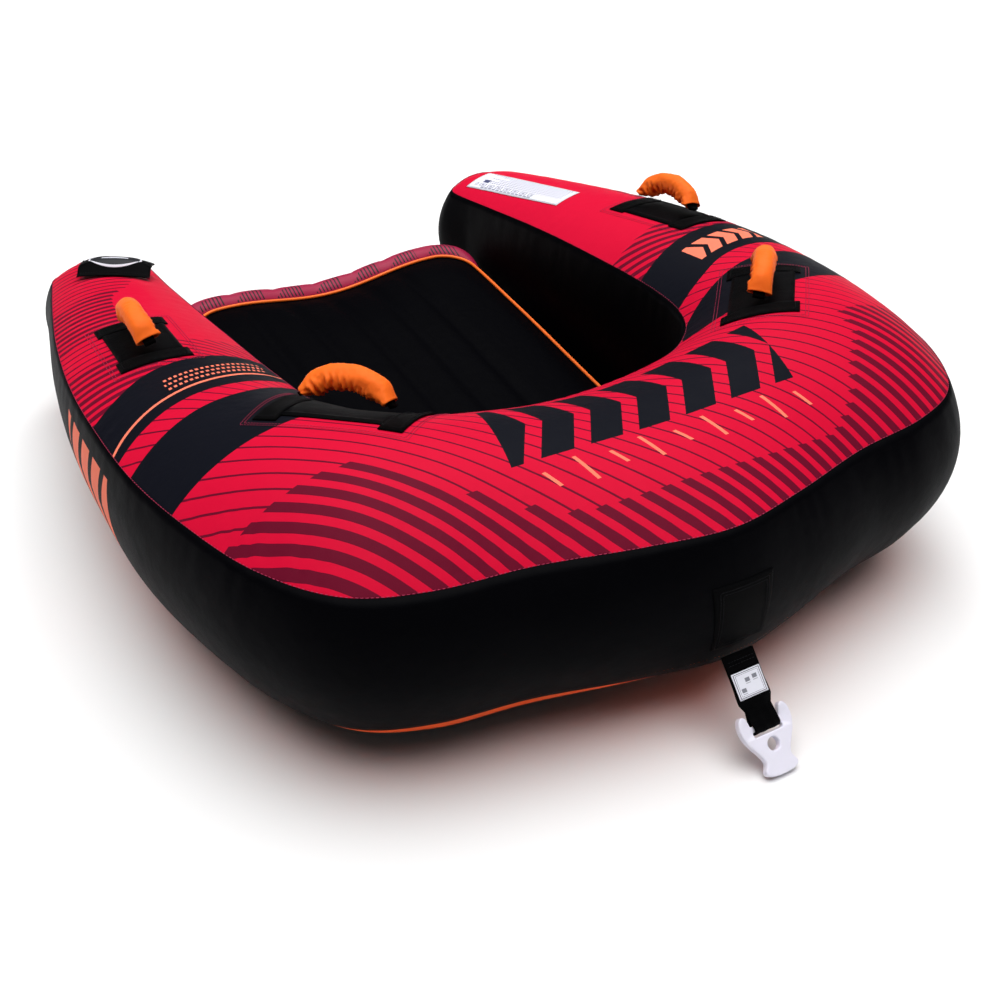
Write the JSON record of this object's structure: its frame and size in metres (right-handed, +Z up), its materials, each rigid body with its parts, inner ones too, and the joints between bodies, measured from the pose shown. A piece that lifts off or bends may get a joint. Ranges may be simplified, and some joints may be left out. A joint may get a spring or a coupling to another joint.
{
  "type": "towable tube",
  "caption": "Inflatable horseshoe-shaped towable tube with an inflated seat between its arms, padded webbing handles, a tow strap with a quick connector at the nose, and valves for air.",
  "frame": {"origin": "under the middle of the whole object's box, on the ground it lies on", "axes": "+Z up, -Y towards the nose where the tow line pulls, +Y towards the open end between the arms, X from the left arm to the right arm"},
  "size_m": [1.5454, 1.841, 0.5489],
  "materials": {
    "red_nylon": "printed woven nylon, satin",
    "black_nylon": "woven nylon, satin",
    "orange_nylon": "woven nylon, matt",
    "orange_tarpaulin": "coated fabric, semi-gloss",
    "crimson_nylon": "printed woven nylon, satin",
    "grey_vinyl": "smooth vinyl film",
    "black_foam": "foam faced with knitted fabric, matt",
    "black_webbing": "ribbed webbing, matt",
    "white_plastic": "moulded nylon, satin",
    "black_plastic": "moulded, satin",
    "white_print": "printed label, matt"
  },
  "bodies": {
    "tube": {"cover_top_panel": "red_nylon", "cover_side_wall": "black_nylon", "cover_bottom_panel": "orange_tarpaulin", "tube_bladder": "grey_vinyl", "seat_deck": "black_nylon", "seat_side_panel": "crimson_nylon", "seat_bottom_panel": "orange_tarpaulin", "seat_bladder": "grey_vinyl", "seat_piping": "orange_nylon", "seat_joining_web": "black_nylon", "anchor_strip_front_left_front": "black_webbing", "anchor_strip_front_left_rear": "black_webbing", "anchor_strip_front_right_front": "black_webbing", "anchor_strip_front_right_rear": "black_webbing", "anchor_strip_rear_left_front": "black_webbing", "anchor_strip_rear_left_rear": "black_webbing", "anchor_strip_rear_right_front": "black_webbing", "anchor_strip_rear_right_rear": "black_webbing", "knuckle_pad_front_left": "black_foam", "knuckle_pad_front_right": "black_foam", "knuckle_pad_rear_left": "black_foam", "knuckle_pad_rear_right": "black_foam", "tow_patch": "black_webbing", "valve_flange": "grey_vinyl", "valve_insert": "black_plastic", "valve_membrane": "grey_vinyl", "seat_valve_flange": "grey_vinyl", "seat_valve_insert": "black_plastic", "care_label": "white_print", "zip_tape": "black_nylon"},
    "front_left_grip": {"grip_webbing_front_left": "black_webbing", "grip_sleeve_front_left": "orange_nylon"},
    "front_right_grip": {"grip_webbing_front_right": "black_webbing", "grip_sleeve_front_right": "orange_nylon"},
    "rear_left_grip": {"grip_webbing_rear_left": "black_webbing", "grip_sleeve_rear_left": "orange_nylon"},
    "rear_right_grip": {"grip_webbing_rear_right": "black_webbing", "grip_sleeve_rear_right": "orange_nylon"},
    "strap": {"tow_strap": "black_webbing", "tow_strap_label": "white_print"},
    "connector": {"quick_connector": "white_plastic"},
    "flap": {"valve_flap": "black_foam", "valve_flap_badge": "white_print"},
    "main_valve_cap": {"valve_cap": "black_plastic"},
    "seat_cap": {"seat_valve_cap": "black_plastic"},
    "slider": {"zip_slider": "black_plastic", "zip_pull": "orange_nylon"}
  },
  "joints": [
    {"name": "tow_strap_swing", "type": "hinge", "parent": "tube", "child": "strap", "pos_m": [0, -0.7762, 0.157], "axis": [1, 0, 0], "range_deg": [-80, 35]},
    {"name": "connector_swing", "type": "hinge", "parent": "strap", "child": "connector", "pos_m": [0, -0.85997, 0.06558], "axis": [1, 0, 0], "range_deg": [-70, 70]},
    {"name": "front_left_grip_swing", "type": "hinge", "parent": "tube", "child": "front_left_grip", "pos_m": [-0.41134, -0.2408, 0.47929], "axis": [-0.6506, 0.7591, -0.0245], "range_deg": [-36, 36]},
    {"name": "front_right_grip_swing", "type": "hinge", "parent": "tube", "child": "front_right_grip", "pos_m": [0.44138, -0.24382, 0.48947], "axis": [0.6619, 0.7494, -0.0186], "range_deg": [-66, 6]},
    {"name": "rear_left_grip_swing", "type": "hinge", "parent": "tube", "child": "rear_left_grip", "pos_m": [-0.5891, 0.26065, 0.43493], "axis": [0.0933, 0.9888, -0.1164], "range_deg": [-24, 48]},
    {"name": "rear_right_grip_swing", "type": "hinge", "parent": "tube", "child": "rear_right_grip", "pos_m": [0.60109, 0.25752, 0.43464], "axis": [-0.1103, 0.9878, -0.1099], "range_deg": [-51, 21]},
    {"name": "valve_flap_open", "type": "hinge", "parent": "tube", "child": "flap", "pos_m": [-0.50887, 0.68008, 0.3569], "axis": [0.8821, -0.469, -0.0451], "range_deg": [0, 110]},
    {"name": "valve_cap_turn", "type": "hinge", "parent": "tube", "child": "main_valve_cap", "pos_m": [-0.49076, 0.71413, 0.3571], "axis": [0.1172, 0.1257, 0.9851], "range_deg": [0, 270]},
    {"name": "seat_valve_cap_turn", "type": "hinge", "parent": "tube", "child": "seat_cap", "pos_m": [0.00009, 0.80505, 0.10294], "axis": [0.0081, 0.9809, -0.1942], "range_deg": [0, 270]},
    {"name": "zip_slide", "type": "slide", "parent": "tube", "child": "slider", "axis": [1, 0, 0], "range_m": [0, 0.52]}
  ]
}
